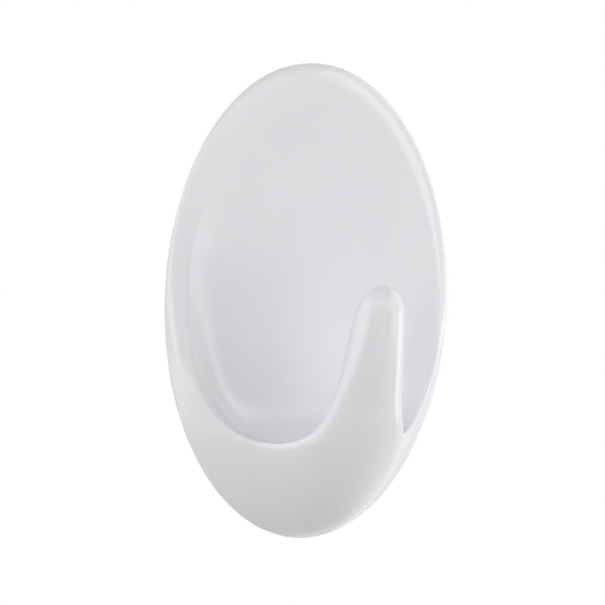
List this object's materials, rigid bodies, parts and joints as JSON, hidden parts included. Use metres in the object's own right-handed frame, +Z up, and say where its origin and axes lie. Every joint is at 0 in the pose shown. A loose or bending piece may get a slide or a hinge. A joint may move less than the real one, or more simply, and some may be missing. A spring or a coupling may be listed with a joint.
{
  "type": "adhesive wall hook",
  "caption": "Oval moulded wall hook: a shallow rimmed dish scoops forward into one upturned prong, and the cover slides off a plate held by a stretch-release adhesive strip.",
  "frame": {"origin": "on the wall face of the adhesive strip, behind the middle of the oval", "axes": "+Z up the wall, -Y out of the wall towards the viewer, +X to the right as seen from the front"},
  "size_m": [0.0476, 0.0273, 0.07],
  "materials": {
    "cover_plastic": "polished white moulding",
    "plate_plastic": "satin white moulding",
    "strip_foam": "matt elastic foam",
    "adhesive": "tacky satin",
    "tab_film": "smooth film"
  },
  "bodies": {
    "base": {"base_plate": "plate_plastic", "strip_core": "strip_foam", "plate_adhesive": "adhesive", "wall_adhesive": "adhesive"},
    "cover": {"hook_shell": "cover_plastic"},
    "tab": {"tab_film_front": "tab_film", "tab_film_rear": "tab_film"}
  },
  "joints": [
    {"name": "cover_slide", "type": "slide", "parent": "base", "child": "cover", "axis": [0, 0, 1], "range_m": [0, 0.038]},
    {"name": "tab_pull", "type": "slide", "parent": "base", "child": "tab", "axis": [0, 0, -1], "range_m": [0, 0.15], "stiffness_N_per_m": 150, "deforming": ["strip_core", "plate_adhesive", "wall_adhesive"]}
  ]
}
